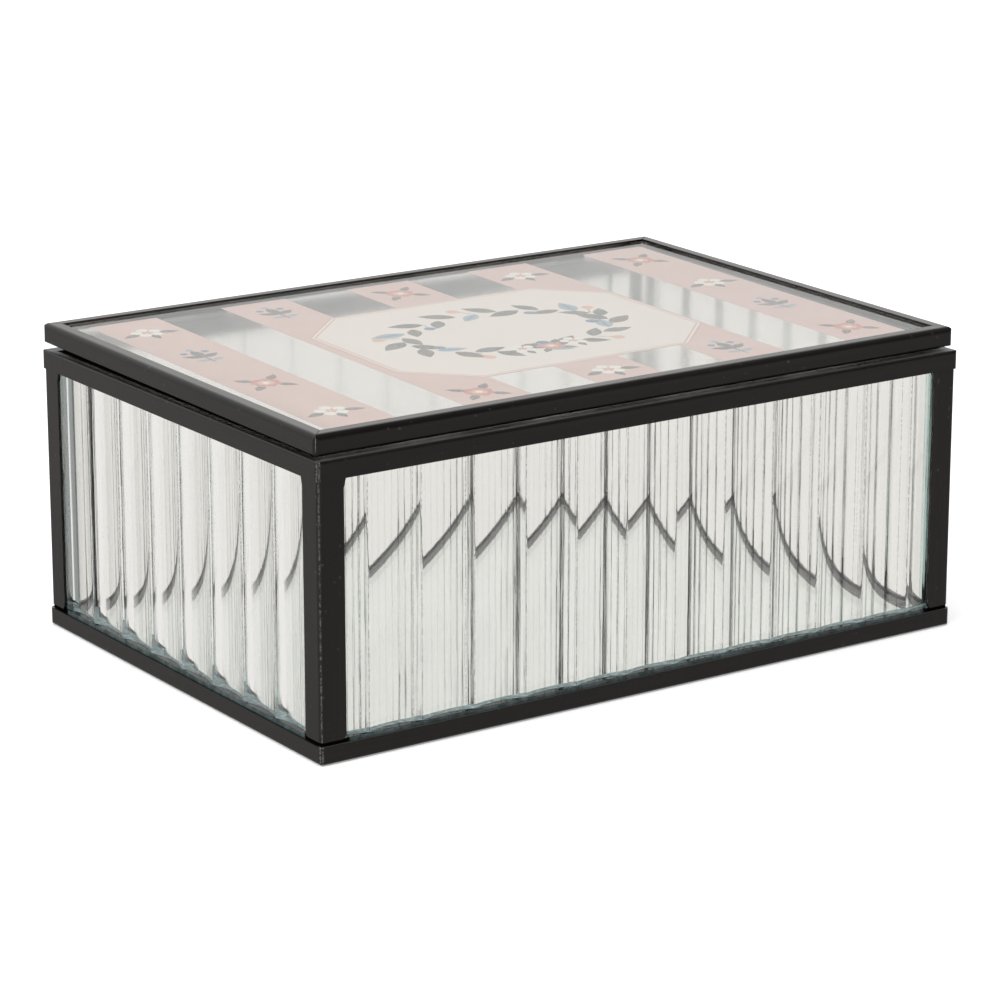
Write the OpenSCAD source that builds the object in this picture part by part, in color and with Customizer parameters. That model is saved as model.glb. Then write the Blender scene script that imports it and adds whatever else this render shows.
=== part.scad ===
// Glass keepsake casket: fluted glass walls in a black formed-sheet frame,
// a mirror plate as its base and a hinged, glazed lid.
// Millimetres. +X along the long side, +Y towards the hinges, +Z up.
// The origin is on the resting plane, under the middle of the casket.

/* [Casket] */
// Outside length, left to right
box_l = 160; // [100:1:260]
// Outside depth, front to back
box_w = 111; // [80:1:200]
// Height from the resting plane to the top of the rim
box_h = 61; // [35:1:120]

/* [Sheet metal frame] */
// Thickness of the sheet that every rail is folded from
sheet_t = 0.5; // [0.3:0.05:0.8]
// Outside radius of a fold in the sheet
fold_r = 0.5; // [0.3:0.05:0.9]
// Radius of the rounded outer corners, seen from above
corner_r = 1.0; // [0.6:0.1:3]
// Slit left open at each mitred corner
mitre_gap = 0.12; // [0.04:0.02:0.4]
// Height of the base rails
base_rail_h = 3.7; // [3.6:0.1:8]
// Width of the flange that the base rails turn in under the mirror
base_flange_w = 7; // [3:0.5:14]
// Height of the rim rails' walls
rim_rail_h = 4.0; // [2:0.1:8]
// Radius of the rounded upper outer edge of the rim rails
rim_round_r = 0.6; // [0.5:0.1:0.9]

/* [Corner posts] */
// Width of each leg of a corner post
post_leg_w = 6.1; // [4:0.1:12]
// How far the face of a post stands back from the face of the rails
post_set_back = 0.3; // [0.1:0.05:0.45]
// Thickness of the thin tongues that tuck behind the rails
tongue_t = 0.4; // [0.2:0.05:0.8]
// Slack between a tongue and the rail in front of it
tongue_gap = 0.05; // [0.02:0.01:0.2]
// How much narrower a tongue is than its leg
tongue_trim = 0.8; // [0.2:0.1:2]
// Shadow gap between the foot of a post and the base rail
foot_gap = 0.8; // [0.2:0.1:3]
// Width of the clipped corner at the foot of a leg
foot_clip_w = 0.6; // [0.2:0.1:2]
// Height of the clipped corner at the foot of a leg
foot_clip_h = 0.9; // [0.3:0.1:4]
// Width of the flare at the head of a leg
head_flare_w = 0.5; // [0.2:0.1:2]
// Height of the flare at the head of a leg
head_flare_h = 2.0; // [0.3:0.1:4]

/* [Fluted panes] */
// Thickness of the fluted glass over its arrises
pane_t = 4; // [2.5:0.1:6]
// Spacing of the flutes
flute_pitch = 12.4; // [6:0.1:20]
// Depth of each hollow flute
flute_depth = 1.15; // [0.3:0.05:1.6]
// Flat left on each arris between two flutes
arris_w = 0.25; // [0.1:0.05:1]
// From the middle of the front and back panes to the nearest flute's middle
long_pane_shift = 0; // [-10:0.1:10]
// From the middle of the side panes to the nearest flute's middle
side_pane_shift = 6.2; // [-10:0.1:10]
// Clearance round the edges of a pane
pane_gap = 0.1; // [0.05:0.05:0.3]

/* [Base mirror] */
// Thickness of the mirror plate
mirror_t = 4; // [2:0.1:5]
// Clearance between the mirror and the base rails
mirror_gap = 0.15; // [0.05:0.05:0.6]

/* [Lid] */
// Height of the lid rails
lid_rail_h = 4.2; // [4:0.1:8]
// Radius of the rounded upper outer edge of the lid rails
lid_round_r = 1.2; // [0.7:0.1:1.6]
// Width of the lip over the lid glass
lid_lip_w = 3.1; // [1.6:0.1:5]
// Width of the flange under the lid glass
lid_flange_w = 3.7; // [2:0.1:8]
// How far the lid's ends stand in from the rim
lid_side_in = 0.4; // [0:0.1:3]
// How far the lid's front stands back from the rim
lid_front_in = 1.4; // [0:0.1:4]
// Clearance between the lid glass and the channel that holds it
lid_glass_gap = 0.05; // [0.02:0.01:0.2]
// Gap between the lid's front edge and the rim when it is closed
lid_rest_gap = 0.7; // [0.1:0.05:1]

/* [Hinges] */
// Length of each hinge
hinge_l = 26; // [14:1:36]
// Distance of each hinge's middle from the casket's nearer end
hinge_end_in = 32; // [25:1:34]
// Length of the knuckle on the lid
lid_knuckle_l = 10; // [4:0.5:12]
// Gap between neighbouring knuckles
knuckle_gap = 0.25; // [0.1:0.05:0.6]
// Outside radius of the knuckles
knuckle_r = 0.55; // [0.5:0.05:0.6]
// Radius of the hinge pins
pin_r = 0.32; // [0.26:0.01:0.36]
// Running fit between a pin and its bore
pin_fit = 0.05; // [0.02:0.01:0.08]
// How far a pin stands out of its knuckles at each end
pin_end = 0.4; // [0.1:0.1:1]
// Height of the pins over the rim, and of the lid over the pins
hinge_rise = 0.75; // [0.7:0.05:1.2]
// Distance of the pins in from the back of the casket
hinge_in = 0.9; // [0.85:0.05:1.2]
// Width of the foot that joins a knuckle to its rail
knuckle_foot_w = 0.8; // [0.6:0.1:1]

/* [Hidden] */
$fn = 96;

eps = 0.01;
paint = [0.10, 0.095, 0.095];
clear_glass = [0.86, 0.89, 0.87, 0.4];
steel = [0.62, 0.62, 0.60];

// Which way round each side of a frame is turned
FRONT = 0;
RIGHT = 90;
BACK = 180;
LEFT = 270;

// Everything inside the rails is set by its depth behind the rails' face
tongue_in = sheet_t + tongue_gap;
pane_in = tongue_in + tongue_t;
rim_w = pane_in + pane_t + pane_gap + sheet_t;

// Heights, from the resting plane up
mirror_top = sheet_t + mirror_t;
rim_web_z = box_h - sheet_t;
pane_h = rim_web_z - pane_gap - mirror_top;
post_foot_z = max(base_rail_h + foot_gap, mirror_top);
post_head_z = box_h - rim_rail_h - tongue_gap;
tongue_head_z = rim_web_z - max(tongue_gap, rim_round_r - sheet_t);

// A flute's arc runs through both arrises and its own lowest line
flute_half = (flute_pitch - arris_w) / 2;
flute_r = (flute_half * flute_half + flute_depth * flute_depth) / (2 * flute_depth);
long_pane_l = box_l - 2 * pane_in - 2 * pane_gap;
side_pane_l = box_w - 2 * (pane_in + pane_t + pane_gap);

// The lid's own outline, and the tilt that its hinges give it
lid_l = box_l - 2 * lid_side_in;
lid_w = box_w - lid_front_in;
lid_mid_y = lid_front_in / 2;
lid_glass_t = lid_rail_h - 2 * sheet_t - 2 * lid_glass_gap;
// The lid glass's upper corner has to clear the inside of the rounded edge
inner_r = lid_round_r - sheet_t;
glass_corner = sqrt(max(0, inner_r * inner_r - (inner_r - lid_glass_gap) * (inner_r - lid_glass_gap)));
lid_glass_in = lid_round_r - glass_corner + lid_glass_gap;
hinge_x = box_l / 2 - hinge_end_in;
hinge_y = box_w / 2 - hinge_in;
hinge_z = box_h + hinge_rise;
lid_reach = hinge_y + box_w / 2 - lid_front_in;
lid_tilt = asin((2 * hinge_rise - lid_rest_gap) / lid_reach);
rim_knuckle_l = (hinge_l - lid_knuckle_l) / 2 - knuckle_gap;

// ---- Folded sheet profiles: x runs inwards from the face, y runs up ----

// A quarter-round fold whose outer corner is at the origin
module fold(r) {
    intersection() {
        square([r, r]);
        translate([r, r]) difference() {
            circle(r);
            if (r > sheet_t) circle(r - sheet_t);
        }
    }
}

// Angle section: a wall with a flange turned in at its foot
module base_rail_profile() {
    fold(fold_r);
    translate([0, fold_r]) square([sheet_t, base_rail_h - fold_r]);
    translate([fold_r, 0]) square([base_flange_w - fold_r, sheet_t]);
}

// Channel section, open downwards, that caps the panes' upper edges
module rim_rail_profile() {
    square([sheet_t, rim_rail_h - rim_round_r]);
    translate([rim_w - sheet_t, 0]) square([sheet_t, rim_rail_h - fold_r]);
    translate([rim_round_r, rim_rail_h - sheet_t])
        square([rim_w - rim_round_r - fold_r, sheet_t]);
    translate([0, rim_rail_h]) mirror([0, 1]) fold(rim_round_r);
    translate([rim_w, rim_rail_h]) mirror([1, 0]) mirror([0, 1]) fold(fold_r);
}

// Channel section, open inwards, with a rounded upper edge
module lid_rail_profile() {
    fold(fold_r);
    translate([0, fold_r]) square([sheet_t, lid_rail_h - fold_r - lid_round_r]);
    translate([fold_r, 0]) square([lid_flange_w - fold_r, sheet_t]);
    translate([0, lid_rail_h]) mirror([0, 1]) fold(lid_round_r);
    translate([lid_round_r, lid_rail_h - sheet_t]) square([lid_lip_w - lid_round_r, sheet_t]);
}

// ---- Mitred frames ----

// Plan of one side of a frame: rounded outer corners and mitred ends
module mitred_plan(run, reach, depth) {
    slit = mitre_gap / sqrt(2);
    intersection() {
        polygon([
            [-run / 2 + slit, -reach],
            [run / 2 - slit, -reach],
            [run / 2 - depth - slit, -reach + depth],
            [-run / 2 + depth + slit, -reach + depth]
        ]);
        union() {
            translate([-run / 2 + corner_r, -reach]) square([run - 2 * corner_r, depth]);
            translate([-run / 2, -reach + corner_r]) square([run, depth]);
            for (side = [-1, 1])
                translate([side * (run / 2 - corner_r), -reach + corner_r]) circle(corner_r);
        }
    }
}

// One side of a frame: the profile given as its child, run along the side
module mitred_rail(turn, run, reach, depth, height) {
    rotate([0, 0, turn]) intersection() {
        translate([0, -reach, 0]) rotate([90, 0, 90])
            linear_extrude(run, center = true) children();
        translate([0, 0, -eps]) linear_extrude(height + 2 * eps)
            mitred_plan(run, reach, depth);
    }
}

// Length of the side that faces a turn, and its distance from the middle
function run_of(turn, l, w) = (turn == FRONT || turn == BACK) ? l : w;
function reach_of(turn, l, w) = (turn == FRONT || turn == BACK) ? w / 2 : l / 2;

module base_rail(turn) {
    color(paint) mitred_rail(turn, run_of(turn, box_l, box_w), reach_of(turn, box_l, box_w),
                             base_flange_w, base_rail_h)
        base_rail_profile();
}

module rim_rail(turn) {
    color(paint) translate([0, 0, box_h - rim_rail_h])
        mitred_rail(turn, run_of(turn, box_l, box_w), reach_of(turn, box_l, box_w),
                    rim_w, rim_rail_h)
        rim_rail_profile();
}

// ---- Base ----

module base_mirror() {
    edge_in = sheet_t + mirror_gap;
    color([0.75, 0.78, 0.78]) translate([0, 0, sheet_t]) linear_extrude(mirror_t)
        square([box_l - 2 * edge_in, box_w - 2 * edge_in], center = true);
}

// ---- Corner posts ----

// Plan of an angle with its outer corner at the origin, legs along +X and +Y
module angle_plan(leg, t, r) {
    difference() {
        union() {
            translate([r, 0]) square([leg - r, t]);
            translate([0, r]) square([t, leg - r]);
            intersection() {
                square([r, r]);
                translate([r, r]) circle(r);
            }
            translate([t - eps, t - eps]) square([max(r - t, 0) + eps, max(r - t, 0) + eps]);
        }
        translate([t, t]) square([leg, leg]);
    }
}

// Elevation of the piece that is clipped off the foot of the leg along +X
module foot_clip(leg) {
    translate([leg, post_foot_z]) polygon([[-foot_clip_w, -eps], [eps, -eps], [eps, foot_clip_h]]);
}

// Elevation of the flare at the head of the leg along +X
module head_flare(leg) {
    translate([leg, post_head_z]) polygon([[-eps, 0], [head_flare_w, 0], [-eps, -head_flare_h]]);
}

// A shape drawn in elevation, on both legs of a post, between two depths
module on_both_legs(depth) {
    rotate([90, 0, 0]) mirror([0, 0, 1]) linear_extrude(depth) children();
    mirror([1, -1, 0]) rotate([90, 0, 0]) mirror([0, 0, 1]) linear_extrude(depth) children();
}

// Front left post, with its rounded edge at the front left corner
module post() {
    leg = post_leg_w - post_set_back;
    wall = pane_in - post_set_back;
    tongue_leg = post_leg_w - tongue_in - tongue_trim;
    translate([-box_l / 2 + post_set_back, -box_w / 2 + post_set_back, 0]) {
        difference() {
            translate([0, 0, post_foot_z]) linear_extrude(post_head_z - post_foot_z)
                angle_plan(leg, wall, corner_r);
            on_both_legs(wall + eps) foot_clip(leg);
        }
        on_both_legs(wall) head_flare(leg);
    }
    translate([-box_l / 2 + tongue_in, -box_w / 2 + tongue_in, mirror_top])
        linear_extrude(tongue_head_z - mirror_top)
        angle_plan(tongue_leg, tongue_t, tongue_t);
}

module corner_post(side_x, side_y) {
    color(paint) mirror([side_x > 0 ? 1 : 0, 0, 0]) mirror([0, side_y > 0 ? 1 : 0, 0]) post();
}

// ---- Fluted panes ----

// Plan of a fluted pane: arrises on y = 0, flat inner face on y = pane_t
module fluted_plan(pane_l, shift) {
    spare = ceil(pane_l / 2 / flute_pitch) + 1;
    difference() {
        translate([-pane_l / 2, 0]) square([pane_l, pane_t]);
        for (k = [-spare : spare])
            translate([shift + k * flute_pitch, flute_depth - flute_r])
                circle(flute_r, $fn = 360);
    }
}

module wall_pane(turn, pane_l, shift) {
    color(clear_glass) rotate([0, 0, turn])
        translate([0, pane_in - reach_of(turn, box_l, box_w), mirror_top])
        linear_extrude(pane_h) fluted_plan(pane_l, shift);
}

// ---- Lid ----

// Sets what is drawn on the lid's underside plane at the lid's closed place
module closed_lid() {
    translate([0, hinge_y, hinge_z]) rotate([lid_tilt, 0, 0])
        translate([0, -hinge_y, hinge_rise]) children();
}

module lid_rail(turn) {
    color(paint) closed_lid() translate([0, lid_mid_y, 0])
        mitred_rail(turn, run_of(turn, lid_l, lid_w), reach_of(turn, lid_l, lid_w),
                    lid_flange_w, lid_rail_h)
        lid_rail_profile();
}

module lid_glass() {
    color(clear_glass) closed_lid() translate([0, lid_mid_y, sheet_t + lid_glass_gap])
        linear_extrude(lid_glass_t)
        square([lid_l - 2 * lid_glass_in, lid_w - 2 * lid_glass_in], center = true);
}

// ---- Hinges ----

// A knuckle on the pin's axis with a foot that reaches down to its rail
module knuckle(length) {
    rotate([90, 0, 90]) linear_extrude(length, center = true) difference() {
        union() {
            circle(knuckle_r);
            translate([-knuckle_foot_w / 2, -hinge_rise]) square([knuckle_foot_w, hinge_rise]);
        }
        circle(pin_r + pin_fit);
    }
}

module rim_knuckles(side) {
    from_middle = lid_knuckle_l / 2 + knuckle_gap + rim_knuckle_l / 2;
    color(paint) for (end = [-1, 1])
        translate([side * hinge_x + end * from_middle, hinge_y, hinge_z]) knuckle(rim_knuckle_l);
}

module lid_knuckle(side) {
    color(paint) translate([side * hinge_x, hinge_y, hinge_z]) rotate([lid_tilt, 0, 0])
        mirror([0, 0, 1]) knuckle(lid_knuckle_l);
}

module hinge_pin(side) {
    color(steel) translate([side * hinge_x, hinge_y, hinge_z]) rotate([0, 90, 0])
        cylinder(r = pin_r, h = hinge_l + 2 * pin_end, center = true);
}

base_rail(FRONT);  // base_rail_front
base_rail(RIGHT);  // base_rail_right
base_rail(BACK);  // base_rail_back
base_rail(LEFT);  // base_rail_left
base_mirror();
corner_post(-1, -1);  // corner_post_front_left
corner_post(1, -1);  // corner_post_front_right
corner_post(1, 1);  // corner_post_back_right
corner_post(-1, 1);  // corner_post_back_left
rim_rail(FRONT);  // rim_rail_front
rim_rail(RIGHT);  // rim_rail_right
rim_rail(BACK);  // rim_rail_back
rim_rail(LEFT);  // rim_rail_left
wall_pane(FRONT, long_pane_l, long_pane_shift);  // pane_front
wall_pane(RIGHT, side_pane_l, side_pane_shift);  // pane_right
wall_pane(BACK, long_pane_l, long_pane_shift);  // pane_back
wall_pane(LEFT, side_pane_l, side_pane_shift);  // pane_left
lid_rail(FRONT);  // lid_rail_front
lid_rail(RIGHT);  // lid_rail_right
lid_rail(BACK);  // lid_rail_back
lid_rail(LEFT);  // lid_rail_left
lid_glass();
rim_knuckles(-1);  // hinge_left_rim_knuckles
lid_knuckle(-1);  // hinge_left_lid_knuckle
hinge_pin(-1);  // hinge_left_pin
rim_knuckles(1);  // hinge_right_rim_knuckles
lid_knuckle(1);  // hinge_right_lid_knuckle
hinge_pin(1);  // hinge_right_pin
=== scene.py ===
"""Looks of the glass keepsake casket: fluted glass walls in a black painted
sheet frame, a mirror base and a hinged lid of clear glass, printed below."""

import math
import random

import bmesh
import bpy
from mathutils import Matrix, Vector


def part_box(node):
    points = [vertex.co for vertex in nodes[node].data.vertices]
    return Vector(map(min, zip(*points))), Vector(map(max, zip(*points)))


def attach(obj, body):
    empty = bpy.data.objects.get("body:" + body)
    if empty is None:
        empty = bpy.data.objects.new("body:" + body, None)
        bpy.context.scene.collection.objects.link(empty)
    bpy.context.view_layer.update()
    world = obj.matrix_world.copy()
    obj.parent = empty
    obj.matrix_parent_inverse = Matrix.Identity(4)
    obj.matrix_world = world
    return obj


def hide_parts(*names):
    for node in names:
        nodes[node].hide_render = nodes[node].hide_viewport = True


MM = 0.001

# Frame sizes that the visual pieces share with the solids, in millimetres
BOX_W = 111.0
BOX_L = 160.0
PANE_T = 4.0
FLUTE_PITCH = 12.4
FLUTE_DEPTH = 1.15
ARRIS_W = 0.25
ARRIS_ROUND = 0.09
LONG_PANE_SHIFT = 0.0
SIDE_PANE_SHIFT = 6.2
HINGE_Y = 54.6
HINGE_Z = 61.75
HINGE_RISE = 0.75
LID_REST_GAP = 0.7
LID_FRONT_IN = 1.4

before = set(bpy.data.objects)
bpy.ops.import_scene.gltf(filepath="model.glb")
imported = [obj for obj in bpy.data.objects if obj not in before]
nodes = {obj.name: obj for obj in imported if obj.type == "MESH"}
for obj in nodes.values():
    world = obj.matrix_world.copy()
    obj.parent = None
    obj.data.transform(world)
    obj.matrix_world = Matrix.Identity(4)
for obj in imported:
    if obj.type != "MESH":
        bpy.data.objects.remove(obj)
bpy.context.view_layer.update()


# ---- Camera, stage and light ----

CAMERA_AZIMUTH = -34.466
CAMERA_ELEVATION = 15.705
CAMERA_DISTANCE = 0.8104
CAMERA_LENS = 135.97
CAMERA_SHIFT_X = 0.0003
CAMERA_SHIFT_Y = -0.0118
AIM = Vector((0.0, 0.0, 0.0304))


def direction_to(azimuth, elevation):
    """Unit vector from the casket towards a viewer or lamp at these angles, in degrees."""
    a, e = math.radians(azimuth), math.radians(elevation)
    return Vector((math.sin(a) * math.cos(e), -math.cos(a) * math.cos(e), math.sin(e)))


def aim_at(obj, target):
    obj.rotation_euler = (target - obj.location).to_track_quat("-Z", "Y").to_euler()


def add_camera():
    data = bpy.data.cameras.new("camera")
    data.lens = CAMERA_LENS
    data.sensor_width = 36.0
    data.shift_x = CAMERA_SHIFT_X
    data.shift_y = CAMERA_SHIFT_Y
    data.clip_start = 0.05
    data.clip_end = 20.0
    camera = bpy.data.objects.new("camera", data)
    camera.location = AIM + CAMERA_DISTANCE * direction_to(CAMERA_AZIMUTH, CAMERA_ELEVATION)
    aim_at(camera, AIM)
    bpy.context.scene.collection.objects.link(camera)
    bpy.context.scene.camera = camera


def add_lamp(name, azimuth, elevation, distance, side, power):
    """A square soft lamp that paint and glass don't mirror."""
    data = bpy.data.lights.new(name, "AREA")
    data.shape = "RECTANGLE"
    data.size = side
    data.size_y = side
    data.energy = power
    lamp = bpy.data.objects.new(name, data)
    lamp.location = AIM + distance * direction_to(azimuth, elevation)
    aim_at(lamp, AIM)
    lamp.visible_glossy = False
    bpy.context.scene.collection.objects.link(lamp)


# ---- Node helpers ----


def new_material(name):
    """An empty material with its output; returns the material, its tree and the output."""
    material = bpy.data.materials.new(name)
    material.use_nodes = True
    tree = material.node_tree
    tree.nodes.clear()
    return material, tree, tree.nodes.new("ShaderNodeOutputMaterial")


def add_node(tree, kind, **settings):
    node = tree.nodes.new(kind)
    for key, value in settings.items():
        setattr(node, key, value)
    return node


def put(node, **values):
    """Sets a node's inputs by name, with underscores for spaces."""
    for key, value in values.items():
        node.inputs[key.replace("_", " ")].default_value = value
    return node


def math_node(tree, operation, *operands):
    """A Math node on sockets and plain numbers; returns its output."""
    node = add_node(tree, "ShaderNodeMath", operation=operation)
    for i, operand in enumerate(operands):
        if isinstance(operand, (int, float)):
            node.inputs[i].default_value = operand
        else:
            tree.links.new(operand, node.inputs[i])
    return node.outputs[0]


def mix_colour(tree, factor, a, b, blend="MIX"):
    """A colour mix; a and b are sockets or RGB tuples; returns its output."""
    node = add_node(tree, "ShaderNodeMix", data_type="RGBA", blend_type=blend)
    if isinstance(factor, (int, float)):
        node.inputs[0].default_value = factor
    else:
        tree.links.new(factor, node.inputs[0])
    for i, colour in ((6, a), (7, b)):
        if isinstance(colour, tuple):
            node.inputs[i].default_value = (*colour, 1.0)
        else:
            tree.links.new(colour, node.inputs[i])
    return node.outputs[2]


def noise(tree, vector, scale, detail=3.0, roughness=0.5, distortion=0.0):
    """A noise on Object coordinates or another vector; returns its value."""
    node = add_node(tree, "ShaderNodeTexNoise")
    put(node, Scale=scale, Detail=detail, Roughness=roughness, Distortion=distortion)
    tree.links.new(vector, node.inputs["Vector"])
    return node.outputs["Fac"]


def stretched(tree, scale):
    """Object coordinates scaled by axis, for patterns that run along a piece."""
    mapping = add_node(tree, "ShaderNodeMapping")
    mapping.inputs["Scale"].default_value = scale
    tree.links.new(object_coords(tree), mapping.inputs["Vector"])
    return mapping.outputs["Vector"]


def ramp(tree, value, low, high, to_low=0.0, to_high=1.0):
    node = add_node(tree, "ShaderNodeMapRange", interpolation_type="SMOOTHSTEP")
    tree.links.new(value, node.inputs["Value"])
    node.inputs["From Min"].default_value = low
    node.inputs["From Max"].default_value = high
    node.inputs["To Min"].default_value = to_low
    node.inputs["To Max"].default_value = to_high
    return node.outputs["Result"]


def band(tree, value, limits, to_low=0.0, to_high=1.0):
    """A ramp between two limits in millimetres."""
    return ramp(tree, value, limits[0] * MM, limits[1] * MM, to_low, to_high)


def object_coords(tree):
    return add_node(tree, "ShaderNodeTexCoord").outputs["Object"]


def separate(tree, vector):
    """A vector's parts, by the names X, Y and Z."""
    node = add_node(tree, "ShaderNodeSeparateXYZ")
    tree.links.new(vector, node.inputs[0])
    return node.outputs


def bump(tree, height, distance, strength=1.0):
    node = add_node(tree, "ShaderNodeBump")
    put(node, Strength=strength, Distance=distance)
    tree.links.new(height, node.inputs["Height"])
    return node.outputs["Normal"]


# ---- Floor and surroundings ----


# The camera's heading over the floor, and where along it the room turns into the white sweep
AHEAD_X = 0.566
AHEAD_Y = 0.824
MIRRORED_TURN = (-0.15, 0.85)
THROUGH_TURN = (-0.12, 0.12)
# How high the sweep reaches, and the studio's colours as paint mirrors them and as glass shows them
SWEEP_REACH = (0.60, 0.88)
SWEEP_MIRRORED = (0.95, 0.95, 0.95)
SWEEP_THROUGH = (0.99, 0.985, 0.985)
ROOM_ABOVE = (0.06, 0.06, 0.06)
ROOM_MIRRORED = (0.05, 0.05, 0.05)
ROOM_THROUGH = (0.60, 0.60, 0.595)
WHITE = (1.0, 1.0, 1.0)
FILL_LIGHT = 0.55


def background(tree, colour, strength=1.0):
    node = add_node(tree, "ShaderNodeBackground")
    node.inputs["Strength"].default_value = strength
    if isinstance(colour, tuple):
        node.inputs["Color"].default_value = (*colour, 1.0)
    else:
        tree.links.new(colour, node.inputs["Color"])
    return node.outputs[0]


def choose(tree, factor, first, second):
    node = add_node(tree, "ShaderNodeMixShader")
    tree.links.new(factor, node.inputs[0])
    tree.links.new(first, node.inputs[1])
    tree.links.new(second, node.inputs[2])
    return node.outputs[0]


def add_world():
    """A white sweep behind and below, a dim room above and on the camera's side."""
    world = bpy.data.worlds.new("studio")
    bpy.context.scene.world = world
    world.use_nodes = True
    tree = world.node_tree
    tree.nodes.clear()
    out = tree.nodes.new("ShaderNodeOutputWorld")
    sight = separate(tree, add_node(tree, "ShaderNodeTexCoord").outputs["Generated"])
    ahead = math_node(tree, "MULTIPLY", sight["X"], AHEAD_X)
    ahead = math_node(tree, "MULTIPLY_ADD", sight["Y"], AHEAD_Y, ahead)
    mirrored = mix_colour(tree, ramp(tree, sight["Z"], *SWEEP_REACH), SWEEP_MIRRORED, ROOM_ABOVE)
    mirrored = mix_colour(tree, ramp(tree, ahead, *MIRRORED_TURN), ROOM_MIRRORED, mirrored)
    through = mix_colour(tree, ramp(tree, ahead, *THROUGH_TURN), ROOM_THROUGH, SWEEP_THROUGH)
    path = add_node(tree, "ShaderNodeLightPath")
    lit = background(tree, WHITE, FILL_LIGHT)
    lit = choose(tree, path.outputs["Is Glossy Ray"], lit, background(tree, mirrored))
    lit = choose(tree, path.outputs["Is Transmission Ray"], lit, background(tree, through))
    shown = choose(tree, path.outputs["Is Camera Ray"], lit, background(tree, WHITE))
    tree.links.new(shown, out.inputs["Surface"])


FLOOR_REACH = 3.0
FLOOR_DROP = 0.0002
FLOOR_COLOUR = (0.70, 0.70, 0.70, 1.0)
# The glow that lifts the lit floor to white, from the casket's shadow outwards, in metres
FLOOR_LIFT = 0.30
SHADOW_REACH = 0.16
WHITE_REACH = 0.70
FLOOR_THROUGH = (0.94, 0.918, 0.91)
# The floor as paint and glass mirror it, in front and to the left, and where the one turns into the other
FLOOR_TURN = (-0.20, -0.05)
FLOOR_MIRRORED_FRONT = (0.40, 0.385, 0.375)
FLOOR_MIRRORED_LEFT = (0.52, 0.50, 0.485)


def glow(tree, colour):
    """A plain glow of this colour."""
    node = add_node(tree, "ShaderNodeEmission")
    if isinstance(colour, tuple):
        put(node, Color=(*colour, 1.0))
    else:
        tree.links.new(colour, node.inputs["Color"])
    return node.outputs[0]


def add_floor():
    """A pale floor that reads as white where it is lit and keeps the casket's shadow."""
    mesh = bpy.data.meshes.new("floor")
    reach = FLOOR_REACH
    mesh.from_pydata(
        [(-reach, -reach, 0), (reach, -reach, 0), (reach, reach, 0), (-reach, reach, 0)],
        [],
        [(0, 1, 2, 3)],
    )
    floor = bpy.data.objects.new("floor", mesh)
    floor.location.z = -FLOOR_DROP
    bpy.context.scene.collection.objects.link(floor)
    material, tree, out = new_material("floor_white")
    paper = add_node(tree, "ShaderNodeBsdfPrincipled")
    put(paper, Base_Color=FLOOR_COLOUR, Roughness=0.9, Specular_IOR_Level=0.1)
    put(paper, Emission_Color=(*WHITE, 1.0))
    path = add_node(tree, "ShaderNodeLightPath")
    coords = object_coords(tree)
    away = add_node(tree, "ShaderNodeVectorMath", operation="LENGTH")
    tree.links.new(coords, away.inputs[0])
    fade = ramp(tree, away.outputs["Value"], SHADOW_REACH, WHITE_REACH, FLOOR_LIFT, 1.0)
    lift = math_node(tree, "MULTIPLY", path.outputs["Is Camera Ray"], fade)
    tree.links.new(lift, paper.inputs["Emission Strength"])
    to_left = ramp(tree, separate(tree, coords)["X"], *FLOOR_TURN, 1.0, 0.0)
    mirrored = glow(tree, mix_colour(tree, to_left, FLOOR_MIRRORED_FRONT, FLOOR_MIRRORED_LEFT))
    seen = choose(tree, path.outputs["Is Glossy Ray"], paper.outputs[0], mirrored)
    seen = choose(tree, path.outputs["Is Transmission Ray"], seen, glow(tree, FLOOR_THROUGH))
    tree.links.new(seen, out.inputs["Surface"])
    mesh.materials.append(material)


# ---- Finishes ----


def from_border(tree, coords, half_x, half_y, which):
    """Distance in from the casket's borders: MINIMUM to the nearer wall, MAXIMUM to the corner."""
    place = separate(tree, coords)
    from_x = math_node(tree, "SUBTRACT", half_x * MM, math_node(tree, "ABSOLUTE", place["X"]))
    from_y = math_node(tree, "SUBTRACT", half_y * MM, math_node(tree, "ABSOLUTE", place["Y"]))
    return math_node(tree, which, from_x, from_y)


# Where the paint is dusty and paler with painted top light, matt with painted shade under the lid, or given
# a painted highlight at its folds: limits in millimetres
LID_LIPS = (63.0, 63.5)
DUSTY_LIT_LEDGE = (53.9, 54.2)
OPEN_FRONT = (51.9, 52.3)
OPEN_SIDE = (78.0, 78.6)
SIDE_GLOSS_KEPT = 0.5
PAINT_GLOSS = 0.5
FOLD_HIGHLIGHT = (0.55, 0.85)
DUST_AND_TOP_LIGHT_COLOUR = (0.066, 0.063, 0.059)
SPECK_COLOUR = (0.10, 0.095, 0.09)
FOLD_HIGHLIGHT_COLOUR = (0.12, 0.113, 0.105)


def facing_up(tree):
    normal = add_node(tree, "ShaderNodeTexCoord").outputs["Normal"]
    return ramp(tree, separate(tree, normal)["Z"], 0.85, 0.99)


def dust_and_top_light(tree, coords, blotch):
    """Dust and painted light on what faces up: the lid's lips and the ledges in front of it and behind it,
    made paler as if lit from above.
    """
    place = separate(tree, coords)
    on_lid = band(tree, place["Z"], LID_LIPS)
    on_ledge = band(tree, math_node(tree, "ABSOLUTE", place["Y"]), DUSTY_LIT_LEDGE)
    dust = math_node(tree, "MULTIPLY", facing_up(tree), 0.75)
    dust = math_node(tree, "MULTIPLY", dust, ramp(tree, blotch, 0.2, 0.7, 0.6, 1.0))
    return math_node(tree, "MULTIPLY", dust, math_node(tree, "MAXIMUM", on_lid, on_ledge))


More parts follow.
